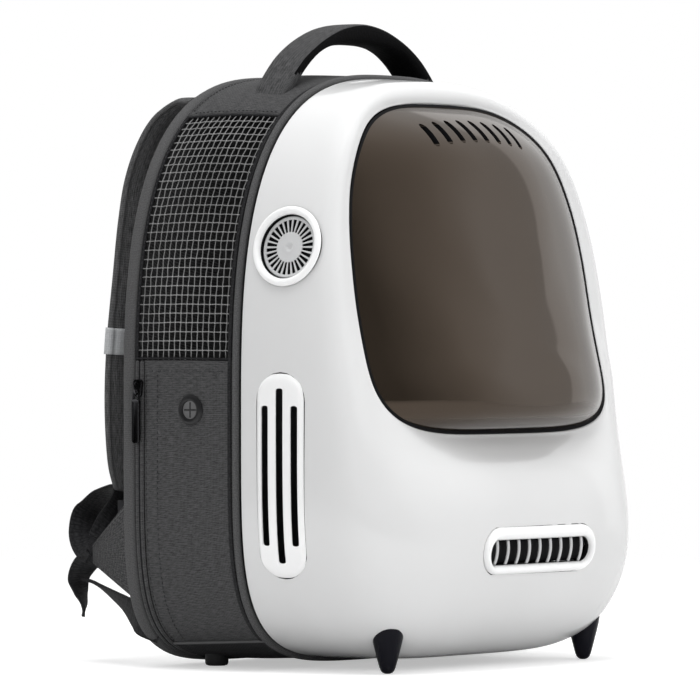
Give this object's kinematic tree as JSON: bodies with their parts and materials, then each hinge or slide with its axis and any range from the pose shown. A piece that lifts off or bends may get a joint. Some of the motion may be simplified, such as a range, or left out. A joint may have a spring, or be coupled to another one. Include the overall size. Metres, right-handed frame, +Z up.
{
  "type": "pet carrier backpack",
  "caption": "Pet carrier backpack with a hard white front shell, a smoked bubble window, net sides, a padded back, a carry handle and shoulder straps, standing on small feet.",
  "frame": {"origin": "under the middle of the whole carrier, straps included, on the surface it stands on", "axes": "+Z up, the window and grille face -Y, the back and straps are towards +Y, and X runs across the carrier"},
  "size_m": [0.341, 0.326, 0.4421],
  "materials": {
    "white_plastic": "glossy white moulded plastic",
    "grey_plastic": "satin pale grey plastic",
    "dark_plastic": "satin black plastic",
    "black_gloss": "polished black plastic",
    "smoked_window": "glossy smoked clear plastic",
    "charcoal_cloth": "woven charcoal polyester",
    "dark_cloth": "woven near-black polyester",
    "net_thread": "pale grey thread net",
    "webbing_cloth": "ribbed black webbing",
    "reflective_tape": "pale grey reflective tape",
    "black_rubber": "matt black rubber",
    "dark_metal": "black coated metal"
  },
  "bodies": {
    "carrier": {"shell": "white_plastic", "fan_ring_left": "white_plastic", "fan_ring_right": "white_plastic", "side_vent_left": "white_plastic", "side_vent_right": "white_plastic", "grille_frame": "white_plastic", "fan_grille_left": "grey_plastic", "fan_grille_right": "grey_plastic", "grille_louvre": "dark_plastic", "buckle_left": "dark_plastic", "buckle_right": "dark_plastic", "foot_front_left": "black_gloss", "foot_front_right": "black_gloss", "window": "smoked_window", "cloth_top": "charcoal_cloth", "cloth_side_left": "charcoal_cloth", "cloth_side_right": "charcoal_cloth", "handle": "charcoal_cloth", "cloth_base": "dark_cloth", "piping_front": "dark_cloth", "zip_tape": "dark_cloth", "back_panel": "dark_cloth", "strap_left": "dark_cloth", "strap_right": "dark_cloth", "tab_left": "dark_cloth", "tab_right": "dark_cloth", "mesh_left": "net_thread", "mesh_right": "net_thread", "webbing_left": "webbing_cloth", "webbing_right": "webbing_cloth", "tail_left": "webbing_cloth", "tail_right": "webbing_cloth", "reflector_left": "reflective_tape", "reflector_right": "reflective_tape", "grommet": "black_rubber", "foot_rear_left": "black_rubber", "foot_rear_right": "black_rubber", "zip_slider": "dark_metal"},
    "zip_pull": {"zip_pull": "dark_metal"}
  },
  "joints": [
    {"name": "pull_swing", "type": "hinge", "parent": "carrier", "child": "zip_pull", "pos_m": [-0.17061, 0.05974, 0.1883], "axis": [0, 1, 0], "range_deg": [0, 150]}
  ]
}
